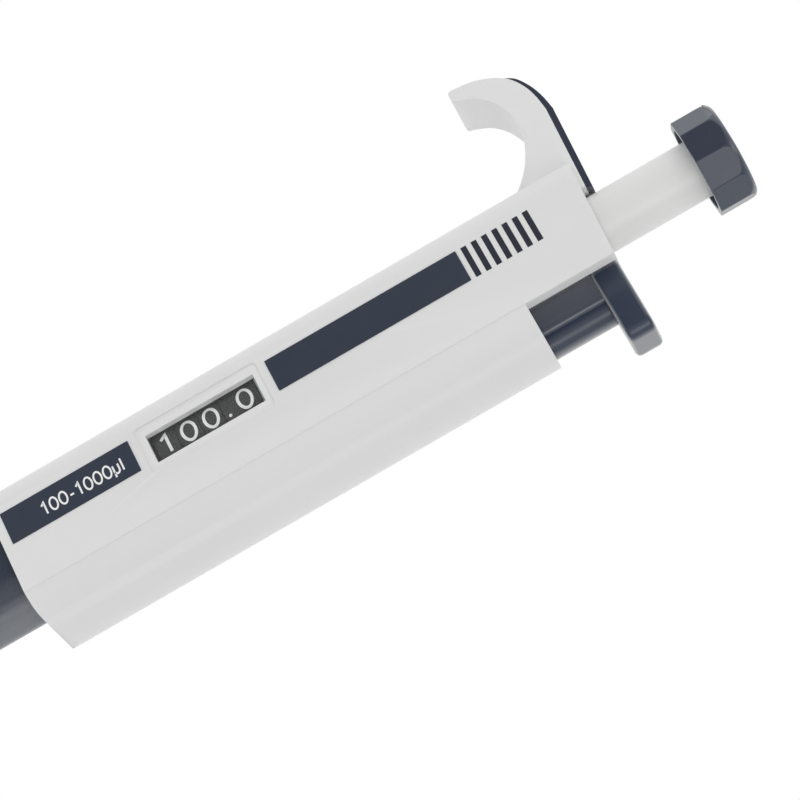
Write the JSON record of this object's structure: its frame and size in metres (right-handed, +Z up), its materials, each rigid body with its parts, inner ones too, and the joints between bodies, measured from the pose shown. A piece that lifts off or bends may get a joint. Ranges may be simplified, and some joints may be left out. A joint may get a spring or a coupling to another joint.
{
  "type": "adjustable micropipette",
  "caption": "Hand-held adjustable micropipette with faceted plunger button, finger hook, volume counter window and thumb tip ejector.",
  "frame": {"origin": "centre of the nozzle's end face, on the plunger's axis", "axes": "+Z up the plunger's axis to the button, +X towards the thumb ejector, -Y towards the display face"},
  "size_m": [0.0613, 0.0221, 0.2405],
  "materials": {
    "white_plastic": "fine satin moulded plastic",
    "navy_plastic": "satin moulded plastic, dark slate blue",
    "label_blue": "printed dark blue label",
    "drum_charcoal": "matt charcoal with white digits",
    "clear_window": "clear polished plastic",
    "grey_plastic": "satin engineering plastic",
    "seal_white": "waxy low-friction polymer",
    "steel": "turned stainless steel",
    "brass": "turned brass",
    "rubber": "black rubber"
  },
  "bodies": {
    "handle": {"handle_front_shell": "white_plastic", "handle_rear_shell": "white_plastic", "ejector_cover": "white_plastic", "finger_hook": "white_plastic", "hook_pad": "navy_plastic", "upper_label": "label_blue", "range_label": "label_blue", "window_lens": "clear_window", "plunger_guide_bush": "grey_plastic", "counter_frame": "grey_plastic", "tenths_ring": "drum_charcoal", "nut_rail_front": "steel", "nut_rail_rear": "steel", "barrel_mount": "grey_plastic", "lower_barrel": "grey_plastic", "seal_ring": "seal_white", "piston_o_ring": "rubber", "seal_retainer": "steel", "tip_cone": "grey_plastic", "cone_filter": "seal_white"},
    "drive": {"drive_tube": "steel", "units_drum": "drum_charcoal"},
    "plunger": {"plunger_button": "navy_plastic", "plunger_rod": "white_plastic", "spline_bush": "brass", "push_rod": "steel", "spring_collar": "steel", "plunger_spring": "steel"},
    "tens_counter": {"tens_drum": "drum_charcoal"},
    "hundreds_counter": {"hundreds_drum": "drum_charcoal"},
    "stop_nut": {"volume_stop_nut": "brass"},
    "piston_unit": {"piston": "grey_plastic", "piston_rod": "steel", "piston_head": "steel"},
    "blowout": {"blowout_washer": "steel", "blowout_spring": "steel"},
    "ejector": {"ejector_button": "navy_plastic", "ejector_stem": "navy_plastic", "ejector_sleeve": "navy_plastic", "ejector_screw": "steel", "ejector_spring": "steel"}
  },
  "joints": [
    {"name": "volume_turn", "type": "hinge", "parent": "handle", "child": "drive", "pos_m": [0, 0, 0.2], "axis": [0, 0, 1], "range_deg": [0, 6480]},
    {"name": "plunger_press", "type": "slide", "parent": "drive", "child": "plunger", "axis": [0, 0, 1], "range_m": [-0.016, 0], "stiffness_N_per_m": 180, "springref_m": 0.005, "deforming": ["plunger_spring"]},
    {"name": "tens_turn", "type": "hinge", "parent": "handle", "child": "tens_counter", "pos_m": [0, 0, 0.134], "axis": [0, 0, 1], "range_deg": [0, 3240]},
    {"name": "hundreds_turn", "type": "hinge", "parent": "handle", "child": "hundreds_counter", "pos_m": [0, 0, 0.1295], "axis": [0, 0, 1], "range_deg": [0, 324]},
    {"name": "stop_nut_travel", "type": "slide", "parent": "handle", "child": "stop_nut", "axis": [0, 0, 1], "range_m": [-0.01296, 0]},
    {"name": "piston_travel", "type": "slide", "parent": "handle", "child": "piston_unit", "axis": [0, 0, 1], "range_m": [-0.016, 0]},
    {"name": "blowout_travel", "type": "slide", "parent": "handle", "child": "blowout", "axis": [0, 0, 1], "range_m": [-0.0016, 0], "deforming": ["blowout_spring"]},
    {"name": "ejector_press", "type": "slide", "parent": "handle", "child": "ejector", "axis": [0, 0, 1], "range_m": [-0.008, 0], "stiffness_N_per_m": 300, "springref_m": 0.004, "deforming": ["ejector_spring"]}
  ],
  "couplings": [
    {"joint": "tens_turn", "follows": "volume_turn", "ratio": 0.5},
    {"joint": "hundreds_turn", "follows": "volume_turn", "ratio": 0.05},
    {"joint": "stop_nut_travel", "follows": "volume_turn", "m_per_rad": -0.00011459},
    {"joint": "piston_travel", "follows": "plunger_press", "ratio": 1}
  ]
}
